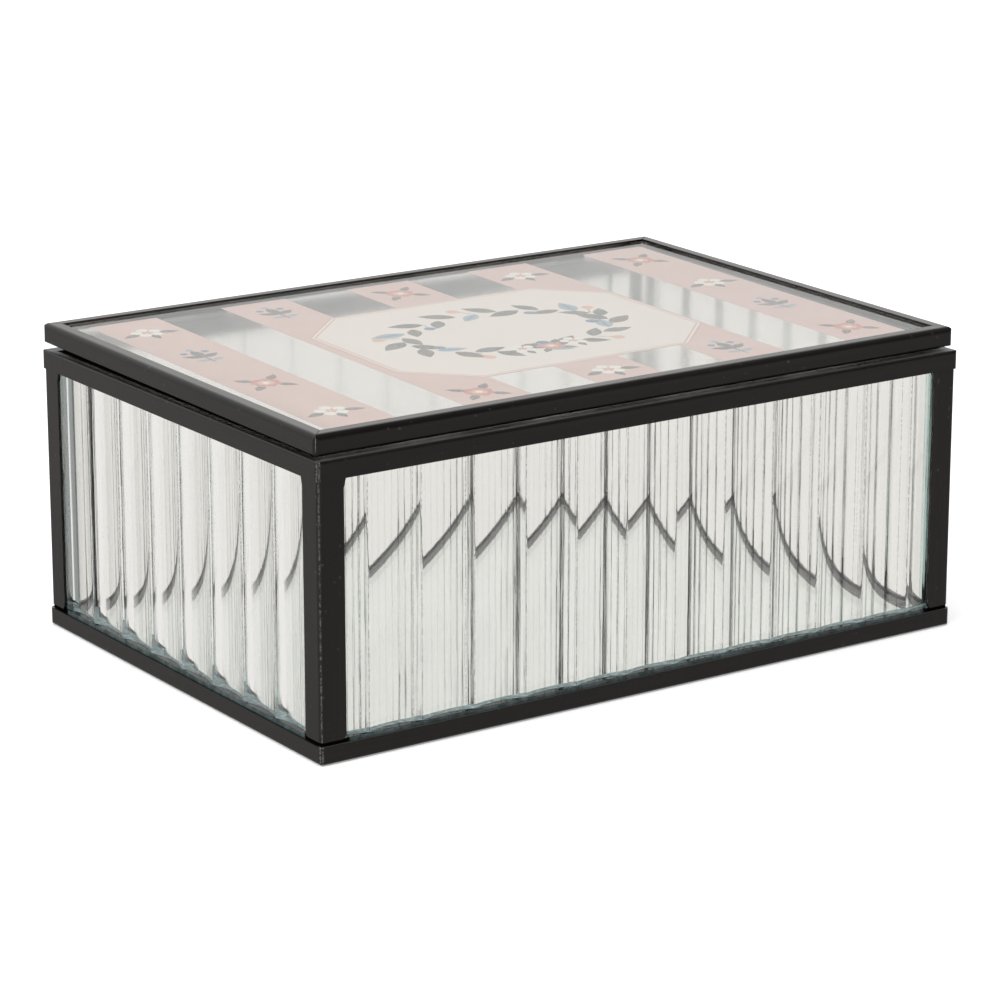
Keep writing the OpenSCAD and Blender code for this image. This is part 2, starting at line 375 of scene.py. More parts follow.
def fold_highlight(tree, coords):
    """A ragged painted highlight along the posts' folds."""
    fold = from_border(tree, coords, BOX_L / 2, BOX_W / 2, "MAXIMUM")
    lit_part = ramp(tree, noise(tree, coords, 2400.0, 2.0, 0.7), 0.42, 0.60)
    return math_node(tree, "MULTIPLY", lit_part, band(tree, fold, FOLD_HIGHLIGHT, 1.0, 0.0))


def shade_under_lid(tree, coords):
    """Where painted shade takes the gloss off the rim's top: under the lid, but not along its open borders.
    """
    place = separate(tree, coords)
    on_lid = band(tree, place["Z"], LID_LIPS)
    open_front = band(tree, math_node(tree, "ABSOLUTE", place["Y"]), OPEN_FRONT)
    open_side = band(tree, math_node(tree, "ABSOLUTE", place["X"]), OPEN_SIDE, 0.0, SIDE_GLOSS_KEPT)
    lit_part = math_node(tree, "MAXIMUM", on_lid, math_node(tree, "MAXIMUM", open_front, open_side))
    return math_node(tree, "MULTIPLY", facing_up(tree), math_node(tree, "SUBTRACT", 1.0, lit_part))


def brushed_paint_group():
    """Satin black brushed over sheet: colour, roughness, height and gloss, shared by every rail."""
    group = bpy.data.node_groups.new("brushed_paint", "ShaderNodeTree")
    face = group.interface
    face.new_socket("Vector", in_out="INPUT", socket_type="NodeSocketVector")
    for name, default in (("Streaks", 0.5), ("Dust", 0.3)):
        socket = face.new_socket(name, in_out="INPUT", socket_type="NodeSocketFloat")
        socket.default_value = default
    for name in ("Dark", "Pale"):
        face.new_socket(name, in_out="INPUT", socket_type="NodeSocketColor")
    face.new_socket("Color", in_out="OUTPUT", socket_type="NodeSocketColor")
    face.new_socket("Roughness", in_out="OUTPUT", socket_type="NodeSocketFloat")
    face.new_socket("Height", in_out="OUTPUT", socket_type="NodeSocketFloat")
    face.new_socket("Gloss", in_out="OUTPUT", socket_type="NodeSocketFloat")
    given = group.nodes.new("NodeGroupInput")
    result = group.nodes.new("NodeGroupOutput")
    vector = given.outputs["Vector"]
    streak = noise(group, vector, 60.0, 4.0, 0.6)
    coords = object_coords(group)
    blotch = noise(group, coords, 90.0, 3.0)
    grain = noise(group, coords, 2600.0, 2.0)
    speck = ramp(group, noise(group, coords, 900.0, 1.0), 0.72, 0.78)
    worn = math_node(group, "MULTIPLY", ramp(group, streak, 0.45, 0.7), given.outputs["Streaks"])
    worn = math_node(group, "MULTIPLY_ADD", blotch, 0.25, worn)
    dust = math_node(group, "MULTIPLY", speck, given.outputs["Dust"])
    colour = mix_colour(group, worn, given.outputs["Dark"], given.outputs["Pale"])
    colour = mix_colour(group, dust, colour, SPECK_COLOUR)
    # Dust and painted light: the up-facing lips and ledges made paler
    colour = mix_colour(group, dust_and_top_light(group, coords, blotch), colour, DUST_AND_TOP_LIGHT_COLOUR)
    # Painted highlight along the posts' folds
    colour = mix_colour(group, fold_highlight(group, coords), colour, FOLD_HIGHLIGHT_COLOUR)
    # Painted shade: no gloss on the rim's top under the lid, so that it reads dark
    lid_shade = shade_under_lid(group, coords)
    gloss = math_node(group, "MULTIPLY_ADD", lid_shade, -PAINT_GLOSS, PAINT_GLOSS)
    group.links.new(gloss, result.inputs["Gloss"])
    group.links.new(colour, result.inputs["Color"])
    rough = math_node(group, "MULTIPLY_ADD", streak, 0.10, 0.20)
    rough = math_node(group, "MULTIPLY_ADD", blotch, 0.08, rough)
    group.links.new(rough, result.inputs["Roughness"])
    height = math_node(group, "MULTIPLY_ADD", streak, 0.5, math_node(group, "MULTIPLY", grain, 0.22))
    height = math_node(group, "MULTIPLY_ADD", blotch, 0.8, height)
    group.links.new(height, result.inputs["Height"])
    return group


PAINT_DARK = (0.0048, 0.0040, 0.0036, 1.0)
PAINT_PALE = (0.0105, 0.0090, 0.0082, 1.0)
BRUSHED_PAINT = brushed_paint_group()


def black_paint(name, along):
    """Satin black paint whose brush marks run along X, Y or Z."""
    material, tree, out = new_material(name)
    scale = [14.0, 14.0, 14.0]
    scale["XYZ".index(along)] = 0.35
    group = add_node(tree, "ShaderNodeGroup", node_tree=BRUSHED_PAINT)
    put(group, Streaks=0.55, Dust=0.35, Dark=PAINT_DARK, Pale=PAINT_PALE)
    tree.links.new(stretched(tree, scale), group.inputs["Vector"])
    paint = add_node(tree, "ShaderNodeBsdfPrincipled")
    put(paint, IOR=1.5)
    tree.links.new(group.outputs["Color"], paint.inputs["Base Color"])
    tree.links.new(group.outputs["Roughness"], paint.inputs["Roughness"])
    tree.links.new(group.outputs["Gloss"], paint.inputs["Specular IOR Level"])
    normal = bump(tree, group.outputs["Height"], 0.00004, 0.6)
    tree.links.new(normal, paint.inputs["Normal"])
    tree.links.new(paint.outputs[0], out.inputs["Surface"])
    return material


def lamp_through(tree, shader, out, tint):
    """Lets rays from lamps pass the glass as tinted light, so that what is inside is lit."""
    film = add_node(tree, "ShaderNodeBsdfTransparent")
    put(film, Color=(*tint, 1.0))
    path = add_node(tree, "ShaderNodeLightPath")
    mix = add_node(tree, "ShaderNodeMixShader")
    tree.links.new(path.outputs["Is Shadow Ray"], mix.inputs[0])
    tree.links.new(shader, mix.inputs[1])
    tree.links.new(film.outputs[0], mix.inputs[2])
    tree.links.new(mix.outputs[0], out.inputs["Surface"])


def clear_glass(name, colour, depth_colour, density, shadow_tint, **settings):
    """Clear glass with a faint green body that shows at the edges."""
    material, tree, out = new_material(name)
    glass = add_node(tree, "ShaderNodeBsdfPrincipled")
    put(glass, Base_Color=(*colour, 1.0), Roughness=0.0, IOR=1.52, Transmission_Weight=1.0)
    put(glass, **settings)
    body = add_node(tree, "ShaderNodeVolumeAbsorption")
    put(body, Color=(*depth_colour, 1.0), Density=density)
    tree.links.new(body.outputs[0], out.inputs["Volume"])
    lamp_through(tree, glass.outputs[0], out, shadow_tint)
    return material, tree, glass


PANE_COLOUR = (0.945, 0.942, 0.922)
NEAR_DIRT = (0.12, 0.10, 0.08)
FAR_DIRT = (0.42, 0.46, 0.44)
PANE_DEPTH = (0.60, 0.78, 0.72)
PANE_DENSITY = 8.0
PANE_SHADOW = (0.93, 0.94, 0.93)
# Where the dirt in an arris starts and is full, as a share of the pitch from the flute's middle
ARRIS_DIRT = (0.486, 0.497)

# Where painted shade of the post darkens the glass towards its end, in millimetres from the middle, and its
# tint there
FRONT_END_SHADE = (73.9, (0.58, 0.74, 0.72))
LEFT_END_SHADE = (47.5, (0.10, 0.12, 0.12))
END_BLUR = 0.2


def fluted_glass(name, axis, shift, dirt_colour, end_shade):
    """Rolled glass: faint draw lines, dust in the arrises between its flutes and painted shade towards an
    end.
    """
    material, tree, glass = clear_glass(name, PANE_COLOUR, PANE_DEPTH, PANE_DENSITY, PANE_SHADOW)
    along = separate(tree, object_coords(tree))[axis]
    across = math_node(tree, "SUBTRACT", along, shift * MM)
    phase = math_node(tree, "MULTIPLY_ADD", across, 1 / (FLUTE_PITCH * MM), 0.5)
    phase = math_node(tree, "FRACT", phase)
    off_middle = math_node(tree, "ABSOLUTE", math_node(tree, "SUBTRACT", phase, 0.5))
    ragged = noise(tree, stretched(tree, (1.0, 1.0, 0.6)), 3600.0, 2.0)
    edge = ramp(tree, off_middle, *ARRIS_DIRT)
    dirt = math_node(tree, "MULTIPLY", edge, ramp(tree, ragged, 0.38, 0.60))
    colour = mix_colour(tree, dirt, PANE_COLOUR, dirt_colour)
    # Painted shade of the post, tinting the glass towards its end
    if end_shade:
        start, tint = end_shade
        near_end = band(tree, along, (start, start + END_BLUR))
        colour = mix_colour(tree, near_end, colour, tint)
    tree.links.new(colour, glass.inputs["Base Color"])
    draw = noise(tree, stretched(tree, (1.0, 1.0, 0.010)), 620.0, 4.0, 0.7)
    pits = noise(tree, stretched(tree, (1.0, 1.0, 0.7)), 2400.0, 1.0)
    height = math_node(tree, "MULTIPLY_ADD", pits, 0.045, draw)
    tree.links.new(bump(tree, height, 0.00003, 0.5), glass.inputs["Normal"])
    return material


def plain_material(name, colour, **settings):
    material, tree, out = new_material(name)
    shader = add_node(tree, "ShaderNodeBsdfPrincipled")
    put(shader, Base_Color=(*colour, 1.0), **settings)
    tree.links.new(shader.outputs[0], out.inputs["Surface"])
    return material


def set_material(obj, material):
    obj.data.materials.clear()
    obj.data.materials.append(material)


# ---- Fluted panes: a slab whose outer face follows the flutes' rule ----


def geometry_tree(name, inputs):
    """A Geometry Nodes tree with named inputs; returns the tree, its input node and output node."""
    tree = bpy.data.node_groups.new(name, "GeometryNodeTree")
    tree.interface.new_socket("Geometry", in_out="OUTPUT", socket_type="NodeSocketGeometry")
    for label, kind in inputs:
        tree.interface.new_socket(label, in_out="INPUT", socket_type="NodeSocket" + kind)
    return tree, tree.nodes.new("NodeGroupInput"), tree.nodes.new("NodeGroupOutput")


def bake_tree(tree, name, values, start=None):
    """Runs a Geometry Nodes tree with these input values and returns a plain mesh object."""
    mesh = start or bpy.data.meshes.new(name + "_start")
    holder = bpy.data.objects.new(name + "_start", mesh)
    bpy.context.scene.collection.objects.link(holder)
    modifier = holder.modifiers.new("maker", "NODES")
    modifier.node_group = tree
    for item in tree.interface.items_tree:
        if item.in_out == "INPUT" and item.name in values:
            modifier[item.identifier] = values[item.name]
    bpy.context.view_layer.update()
    evaluated = holder.evaluated_get(bpy.context.evaluated_depsgraph_get())
    made = bpy.data.meshes.new_from_object(evaluated)
    made.name = name
    bpy.data.objects.remove(holder)
    obj = bpy.data.objects.new(name, made)
    bpy.context.scene.collection.objects.link(obj)
    return obj


def wire(tree, source, target):
    tree.links.new(source, target)


def fluted_pane_tree():
    """A glass slab standing on z = 0 whose face at y = 0 is hollowed into round flutes."""
    tree, given, result = geometry_tree(
        "fluted_pane",
        [
            ("Length", "Float"),
            ("Height", "Float"),
            ("Thickness", "Float"),
            ("Pitch", "Float"),
            ("Depth", "Float"),
            ("Radius", "Float"),
            ("Arris Round", "Float"),
            ("Shift", "Float"),
            ("Steps", "Int"),
            ("Material", "Material"),
        ],
    )
    size = add_node(tree, "ShaderNodeCombineXYZ")
    wire(tree, given.outputs["Length"], size.inputs["X"])
    wire(tree, given.outputs["Thickness"], size.inputs["Y"])
    wire(tree, given.outputs["Height"], size.inputs["Z"])
    slab = add_node(tree, "GeometryNodeMeshCube")
    wire(tree, size.outputs[0], slab.inputs["Size"])
    wire(tree, given.outputs["Steps"], slab.inputs["Vertices X"])
    place = add_node(tree, "GeometryNodeInputPosition")
    split = add_node(tree, "ShaderNodeSeparateXYZ")
    wire(tree, place.outputs[0], split.inputs[0])
    across = math_node(tree, "SUBTRACT", split.outputs["X"], given.outputs["Shift"])
    turns = math_node(tree, "DIVIDE", across, given.outputs["Pitch"])
    nearest = math_node(tree, "ROUND", turns)
    local = math_node(tree, "MULTIPLY", math_node(tree, "SUBTRACT", turns, nearest), given.outputs["Pitch"])
    square = math_node(tree, "MULTIPLY", local, local)
    radius = given.outputs["Radius"]
    under = math_node(tree, "SUBTRACT", math_node(tree, "MULTIPLY", radius, radius), square)
    arc = math_node(tree, "SUBTRACT", math_node(tree, "SQRT", under), radius)
    hollow = math_node(tree, "ADD", arc, given.outputs["Depth"])
    face = math_node(tree, "SMOOTH_MAX", hollow, 0.0, given.outputs["Arris Round"])
    lift = math_node(tree, "MULTIPLY", given.outputs["Height"], 0.5)
    half = math_node(tree, "MULTIPLY", given.outputs["Thickness"], 0.5)
    is_face = math_node(tree, "LESS_THAN", split.outputs["Y"], 0.0)
    y = math_node(tree, "ADD", split.outputs["Y"], half)
    y = math_node(tree, "MULTIPLY_ADD", face, is_face, y)
    z = math_node(tree, "ADD", split.outputs["Z"], lift)
    placed = add_node(tree, "ShaderNodeCombineXYZ")
    wire(tree, split.outputs["X"], placed.inputs["X"])
    wire(tree, y, placed.inputs["Y"])
    wire(tree, z, placed.inputs["Z"])
    move = add_node(tree, "GeometryNodeSetPosition")
    wire(tree, slab.outputs["Mesh"], move.inputs["Geometry"])
    wire(tree, placed.outputs[0], move.inputs["Position"])
    angle = add_node(tree, "GeometryNodeInputMeshEdgeAngle")
    flat_edge = math_node(tree, "LESS_THAN", angle.outputs["Unsigned Angle"], math.radians(35))
    smooth_faces = add_node(tree, "GeometryNodeSetShadeSmooth", domain="FACE")
    wire(tree, move.outputs[0], smooth_faces.inputs["Geometry"])
    smooth_edges = add_node(tree, "GeometryNodeSetShadeSmooth", domain="EDGE")
    wire(tree, smooth_faces.outputs[0], smooth_edges.inputs["Geometry"])
    wire(tree, flat_edge, smooth_edges.inputs["Shade Smooth"])
    realize = add_node(tree, "GeometryNodeRealizeInstances")
    wire(tree, smooth_edges.outputs[0], realize.inputs[0])
    paint = add_node(tree, "GeometryNodeSetMaterial")
    wire(tree, realize.outputs[0], paint.inputs["Geometry"])
    wire(tree, given.outputs["Material"], paint.inputs["Material"])
    wire(tree, paint.outputs[0], result.inputs["Geometry"])
    return tree


def ground_edge(name, dark, pale, scale):
    """Glass cut or ground at its edge: chipped and mottled, dark to pale; its two uses below paint shade on
    the far panes and a highlight on the near ones.
    """
    material, tree, out = new_material(name)
    coords = object_coords(tree)
    chips = noise(tree, coords, scale, 4.0, 0.65)
    shader = add_node(tree, "ShaderNodeBsdfPrincipled")
    put(shader, Roughness=0.5, Specular_IOR_Level=0.05)
    colour = mix_colour(tree, ramp(tree, chips, 0.38, 0.68), dark, pale)
    tree.links.new(colour, shader.inputs["Base Color"])
    tree.links.new(bump(tree, chips, 0.00006, 0.6), shader.inputs["Normal"])
    tree.links.new(shader.outputs[0], out.inputs["Surface"])
    return material


PLATE_EDGE_DARK = (0.040, 0.062, 0.062)
PLATE_EDGE_PALE = (0.105, 0.140, 0.142)
UNLIT = (0.002, 0.002, 0.002)
# How far a post's leg hides the plate's edge from the corner, in millimetres
POST_SHADE = 6.6


def plate_edge(half_x, half_y):
    """The mirror plate's ground edge, teal between the posts and black behind their feet."""
    material, tree, out = new_material("ground_plate_edge")
    coords = object_coords(tree)
    chips = noise(tree, coords, 500.0, 4.0, 0.65)
    colour = mix_colour(tree, ramp(tree, chips, 0.38, 0.68), PLATE_EDGE_DARK, PLATE_EDGE_PALE)
    corner = from_border(tree, coords, half_x, half_y, "MAXIMUM")
    bare = band(tree, corner, (POST_SHADE - 0.5, POST_SHADE))
    colour = mix_colour(tree, bare, UNLIT, colour)
    shader = add_node(tree, "ShaderNodeBsdfPrincipled")
    put(shader, Roughness=0.5)
    tree.links.new(math_node(tree, "MULTIPLY", bare, 0.3), shader.inputs["Specular IOR Level"])
    tree.links.new(colour, shader.inputs["Base Color"])
    tree.links.new(bump(tree, chips, 0.00006, 0.6), shader.inputs["Normal"])
    tree.links.new(shader.outputs[0], out.inputs["Surface"])
    return material


# The far panes' cut top and foot, painted near black as the shade of the gap they stand in
SHADED_CUT_EDGE = ground_edge("shaded_cut_pane_edge", (0.001, 0.001, 0.001), (0.012, 0.013, 0.012), 2200.0)
# The near panes' cut top and foot, painted pale as a highlight
FOOT_HIGHLIGHT = ground_edge("pane_foot_painted_highlight", (0.25, 0.33, 0.34), (0.64, 0.74, 0.75), 700.0)
# A pane stands this far over the mirror, so that the two faces of glass stay apart
PANE_LIFT = 0.03
FLUTE_HALF = (FLUTE_PITCH - ARRIS_W) / 2
FLUTE_RADIUS = (FLUTE_HALF**2 + FLUTE_DEPTH**2) / (2 * FLUTE_DEPTH)
STEP_LENGTH = 0.1


def make_pane(tree, name, node, turn, shift, material, foot):
    """One fluted pane in the place of its node; turn is the wall's heading in degrees."""
    low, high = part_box(node)
    size = high - low
    length = max(size.x, size.y)
    pane = bake_tree(
        tree,
        name,
        {
            "Length": length,
            "Height": size.z - PANE_LIFT * MM,
            "Thickness": PANE_T * MM,
            "Pitch": FLUTE_PITCH * MM,
            "Depth": FLUTE_DEPTH * MM,
            "Radius": FLUTE_RADIUS * MM,
            "Arris Round": ARRIS_ROUND * MM,
            "Shift": shift * MM,
            "Steps": round(length / (STEP_LENGTH * MM)) + 1,
            "Material": material,
        },
    )
    reach = max(abs(low.x), abs(high.x)) if turn in (90, 270) else max(abs(low.y), abs(high.y))
    spin = Matrix.Rotation(math.radians(turn), 4, "Z")
    pane.data.transform(spin @ Matrix.Translation((0, -reach, low.z + PANE_LIFT * MM)))
    pane.data.materials.clear()
    pane.data.materials.append(material)
    pane.data.materials.append(foot)
    for face in pane.data.polygons:
        face.material_index = 1 if abs(face.normal.z) > 0.9 else 0
    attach(pane, "casket")
    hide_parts(node)


def add_panes():
    tree = fluted_pane_tree()
    for name, node, turn, axis, shift, dirt, end_shade, foot in (
        ("fluted_wall_front", "pane_front", 0, "X", LONG_PANE_SHIFT, NEAR_DIRT, FRONT_END_SHADE, FOOT_HIGHLIGHT),
        ("fluted_wall_right", "pane_right", 90, "Y", SIDE_PANE_SHIFT, FAR_DIRT, None, SHADED_CUT_EDGE),
        ("fluted_wall_back", "pane_back", 180, "X", -LONG_PANE_SHIFT, FAR_DIRT, None, SHADED_CUT_EDGE),
        ("fluted_wall_left", "pane_left", 270, "Y", -SIDE_PANE_SHIFT, NEAR_DIRT, LEFT_END_SHADE, FOOT_HIGHLIGHT),
    ):
        material = fluted_glass("glass_" + node, axis, shift, dirt, end_shade)
        make_pane(tree, name, node, turn, shift if turn in (0, 90) else -shift, material, foot)


# ---- Frame, mirror, lid glass and hinges ----


def dress_frame():
    paints = {axis: black_paint("black_paint_along_" + axis.lower(), axis) for axis in "XYZ"}
    for name, node in nodes.items():
        if name.startswith("corner_post"):
            set_material(node, paints["Z"])
        elif "rail" in name:
            set_material(node, paints["Y" if name.endswith(("left", "right")) else "X"])
        elif "knuckle" in name:
            set_material(node, paints["X"])
        elif name.endswith("_pin"):
            wire_metal = plain_material("pin_wire", (0.5, 0.5, 0.49), Metallic=1.0, Roughness=0.32)
            set_material(node, wire_metal)


# The silvered backing's upper face, its inset in the plate and its spoiled border, in millimetres
SILVER_TOP = 0.72
BACKING_INSET = 0.3
SILVER_BORDER = 5.6
SPOILED_DARK = (0.002, 0.002, 0.002)
SPOILED_PALE = (0.045, 0.045, 0.043)
SILVER_COLOUR = (0.96, 0.96, 0.955)
PLATE_BEVEL = 0.05


def box_mesh(name, low, high, bevel=0.0):
    """A closed box between two corners, in metres, with its edges eased."""
    mesh = bpy.data.meshes.new(name)
    work = bmesh.new()
    bmesh.ops.create_cube(work, size=1.0)
    size = Vector(high) - Vector(low)
    for vertex in work.verts:
        vertex.co = Vector(low) + Vector([(vertex.co[i] + 0.5) * size[i] for i in range(3)])
    if bevel:
        bmesh.ops.bevel(work, geom=work.edges[:], offset=bevel, segments=2, affect="EDGES")
    work.to_mesh(mesh)
    work.free()
    obj = bpy.data.objects.new(name, mesh)
    bpy.context.scene.collection.objects.link(obj)
    return obj


def worn_silver(half_x, half_y):
    """Silvering that has gone dark and ragged along its border."""
    material, tree, out = new_material("silvering")
    coords = object_coords(tree)
    inwards = from_border(tree, coords, half_x, half_y, "MINIMUM")
    ragged = noise(tree, coords, 2400.0, 3.0, 0.7)
    inwards = math_node(tree, "MULTIPLY_ADD", ragged, -2.0 * MM, inwards)
    sound = band(tree, inwards, (SILVER_BORDER - 1.2, SILVER_BORDER - 0.6))
    freckles = ramp(tree, noise(tree, coords, 2200.0, 3.0, 0.65), 0.50, 0.64)
    spoiled = mix_colour(tree, freckles, SPOILED_DARK, SPOILED_PALE)
    shader = add_node(tree, "ShaderNodeBsdfPrincipled")
    put(shader, Specular_IOR_Level=0.0)
    colour = mix_colour(tree, sound, spoiled, SILVER_COLOUR)
    tree.links.new(colour, shader.inputs["Base Color"])
    tree.links.new(sound, shader.inputs["Metallic"])
    tree.links.new(ramp(tree, sound, 0.0, 1.0, 0.6, 0.02), shader.inputs["Roughness"])
    tree.links.new(shader.outputs[0], out.inputs["Surface"])
    return material


def add_mirror():
    """The mirror: a glass plate over a silvered, painted backing."""
    low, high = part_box("base_mirror")
    plate = box_mesh("mirror_glass", low, high, PLATE_BEVEL * MM)
    glass, _, _ = clear_glass(
        "mirror_plate_glass",
        colour=(0.99, 0.99, 0.985),
        depth_colour=(0.55, 0.75, 0.70),
        density=6.0,
        shadow_tint=(0.9, 0.9, 0.9),
        Specular_IOR_Level=0.01,
    )
    set_material(plate, glass)
    plate.data.materials.append(plate_edge(high.x / MM, high.y / MM))
    for face in plate.data.polygons:
        if abs(face.normal.z) < 0.1:
            face.material_index = 1
    inset = BACKING_INSET * MM
    top_corner = (high.x - inset, high.y - inset, SILVER_TOP * MM)
    backing = box_mesh("mirror_backing", low + Vector((inset, inset, 0)), top_corner)
    silver = worn_silver(high.x / MM, high.y / MM)
    back_paint = plain_material("mirror_back_paint", (0.16, 0.17, 0.18), Roughness=0.6)
    backing.data.materials.append(silver)
    backing.data.materials.append(back_paint)
    for face in backing.data.polygons:
        face.material_index = 0 if face.normal.z > 0.9 else 1
    for piece in (plate, backing):
        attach(piece, "casket")
    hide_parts("base_mirror")


def add_lid_glass():
    glass, _, _ = clear_glass(
        "lid_plate_glass",
        colour=(0.85, 0.82, 0.79),
        depth_colour=(0.40, 0.78, 0.70),
        density=16.0,
        shadow_tint=(0.92, 0.93, 0.92),
        Roughness=0.08,
    )
    set_material(nodes["lid_glass"], glass)


# ---- The print under the lid glass ----

LID_TILT = math.asin((2 * HINGE_RISE - LID_REST_GAP) / (HINGE_Y + BOX_W / 2 - LID_FRONT_IN))


def closed_lid():
    """Places what is drawn in millimetres on the lid's underside plane at the closed lid."""
    hinge = Matrix.Translation((0, HINGE_Y * MM, HINGE_Z * MM))
    tilt = Matrix.Rotation(LID_TILT, 4, "X")
    drop = Matrix.Translation((0, -HINGE_Y * MM, HINGE_RISE * MM))
    return hinge @ tilt @ drop @ Matrix.Scale(MM, 4)


# Heights of the ink layers over the lid's underside plane, in millimetres
INK_UNDER = 0.515
PANEL_UNDER = 0.511
MARKS_UNDER = 0.540
STRIPE_TOP = 0.560
PANEL_TOP = 0.566
LINE_TOP = 0.568

# The printed stripes, which lean a little, and the panel over them, in millimetres
FIELD_FRONT = -47.4
FIELD_BACK = 50.3
STRIPES = 5
STRIPE_START = -72.9
STRIPE_STEP = 32.2
STRIPE_W = 16.2
LEAN = math.tan(math.radians(1.05))
PANEL_MID = (1.5, -0.8)
PANEL_HALF = (39.1, 30.2)
PANEL_CLIP = 13.0
# Insets of the panel's printed edge and of the fine line within it, outer and inner
PANEL_EDGE = (0.0, 0.45)
PANEL_LINE = (1.0, 1.35)


def leaned(x, y):
    """A point of the print after its slight turn on the glass."""
    return x + (y - FIELD_FRONT) * LEAN, y


def film(work, outline, under, top):
    """Adds a closed, flat film of ink with this outline to a bmesh."""
    low = [work.verts.new((x, y, under)) for x, y in outline]
    high = [work.verts.new((x, y, top)) for x, y in outline]
    work.faces.new(high)
    work.faces.new(low[::-1])
    for i in range(len(outline)):
        work.faces.new((low[i - 1], low[i], high[i], high[i - 1]))


def ink_piece(name, outlines, under, top, material):
    """One piece of printed ink made of films, laid under the lid glass."""
    work = bmesh.new()
    for outline in outlines:
        film(work, outline, under, top)
    bmesh.ops.recalc_face_normals(work, faces=work.faces[:])
    mesh = bpy.data.meshes.new(name)
    work.to_mesh(mesh)
    work.free()
    mesh.transform(closed_lid())
    obj = bpy.data.objects.new(name, mesh)
    bpy.context.scene.collection.objects.link(obj)
    set_material(obj, material)
    lay_print(obj)


def lay_print(obj):
    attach(obj, "lid")


def ink_grain_group():
    """Screen printed ink: the mesh's faint dots and an uneven pull of the blade."""
    group = bpy.data.node_groups.new("ink_grain", "ShaderNodeTree")
    face = group.interface
    face.new_socket("Ink", in_out="INPUT", socket_type="NodeSocketColor")
    face.new_socket("Thin", in_out="INPUT", socket_type="NodeSocketFloat").default_value = 0.1
    face.new_socket("Color", in_out="OUTPUT", socket_type="NodeSocketColor")
    face.new_socket("Height", in_out="OUTPUT", socket_type="NodeSocketFloat")
    given = group.nodes.new("NodeGroupInput")
    result = group.nodes.new("NodeGroupOutput")
    coords = object_coords(group)
    pull = noise(group, coords, 140.0, 3.0)
    grain = noise(group, coords, 3200.0, 2.0)
    fade = math_node(group, "MULTIPLY", ramp(group, grain, 0.35, 0.7), given.outputs["Thin"])
    fade = math_node(group, "MULTIPLY_ADD", ramp(group, pull, 0.4, 0.7), 0.06, fade)
    colour = mix_colour(group, fade, given.outputs["Ink"], (0.80, 0.78, 0.75))
    group.links.new(colour, result.inputs["Color"])
    group.links.new(grain, result.inputs["Height"])
    return group


INK_GRAIN = ink_grain_group()


def ink(name, colour, thin=0.10):
    material, tree, out = new_material("ink_" + name)
    group = add_node(tree, "ShaderNodeGroup", node_tree=INK_GRAIN)
    put(group, Ink=(*colour, 1.0), Thin=thin)
    shader = add_node(tree, "ShaderNodeBsdfPrincipled")
    put(shader, Roughness=0.55, Specular_IOR_Level=0.2)
    tree.links.new(group.outputs["Color"], shader.inputs["Base Color"])
    tree.links.new(bump(tree, group.outputs["Height"], 0.00001, 0.3), shader.inputs["Normal"])
    tree.links.new(shader.outputs[0], out.inputs["Surface"])
    return material


INKS = {
    "pink": ink("pink", (0.655, 0.465, 0.428)),
    "cream": ink("cream", (0.775, 0.685, 0.635), 0.05),
    "line": ink("line", (0.62, 0.39, 0.355), 0.1),
    "rose": ink("rose", (0.56, 0.235, 0.205), 0.2),
    "blush": ink("blush", (0.70, 0.41, 0.31), 0.2),
    "white": ink("white", (0.80, 0.74, 0.69), 0.05),
    "slate": ink("slate", (0.115, 0.115, 0.120), 0.30),
    "umber": ink("umber", (0.165, 0.125, 0.105), 0.30),
    "blue": ink("blue", (0.13, 0.20, 0.31), 0.2),
    "mist": ink("mist", (0.31, 0.38, 0.44), 0.2),
}


def leaf_outline(length, width, count=9):
    """A pointed leaf from the origin along +X."""
    upper = []
    for i in range(1, count):
        t = i / count
        upper.append((length * t, width / 2 * math.sin(math.pi * t**0.85)))
    lower = [(x, -y) for x, y in reversed(upper)]
    return [(0.0, 0.0)] + lower[::-1] + [(length, 0.0)] + upper[::-1]


def round_outline(radius, count=14):
    return [
        (radius * math.cos(2 * math.pi * i / count), radius * math.sin(2 * math.pi * i / count))
        for i in range(count)
    ]


def petal_outline(length, width, count=10):
    """A round-ended petal from the origin along +X."""
    points = [(0.0, 0.0)]
    for i in range(count + 1):
        a = math.radians(-100 + 200 * i / count)
        points.append((length - width / 2 + width / 2 * math.cos(a), width / 2 * math.sin(a)))
    return points


def shape_object(name, outline, under, top):
    """A film of ink that the marks' tree repeats; it isn't shown itself."""
    work = bmesh.new()
    film(work, outline, under, top)
    bmesh.ops.recalc_face_normals(work, faces=work.faces[:])
    mesh = bpy.data.meshes.new(name)
    work.to_mesh(mesh)
    work.free()
    return bpy.data.objects.new(name, mesh)


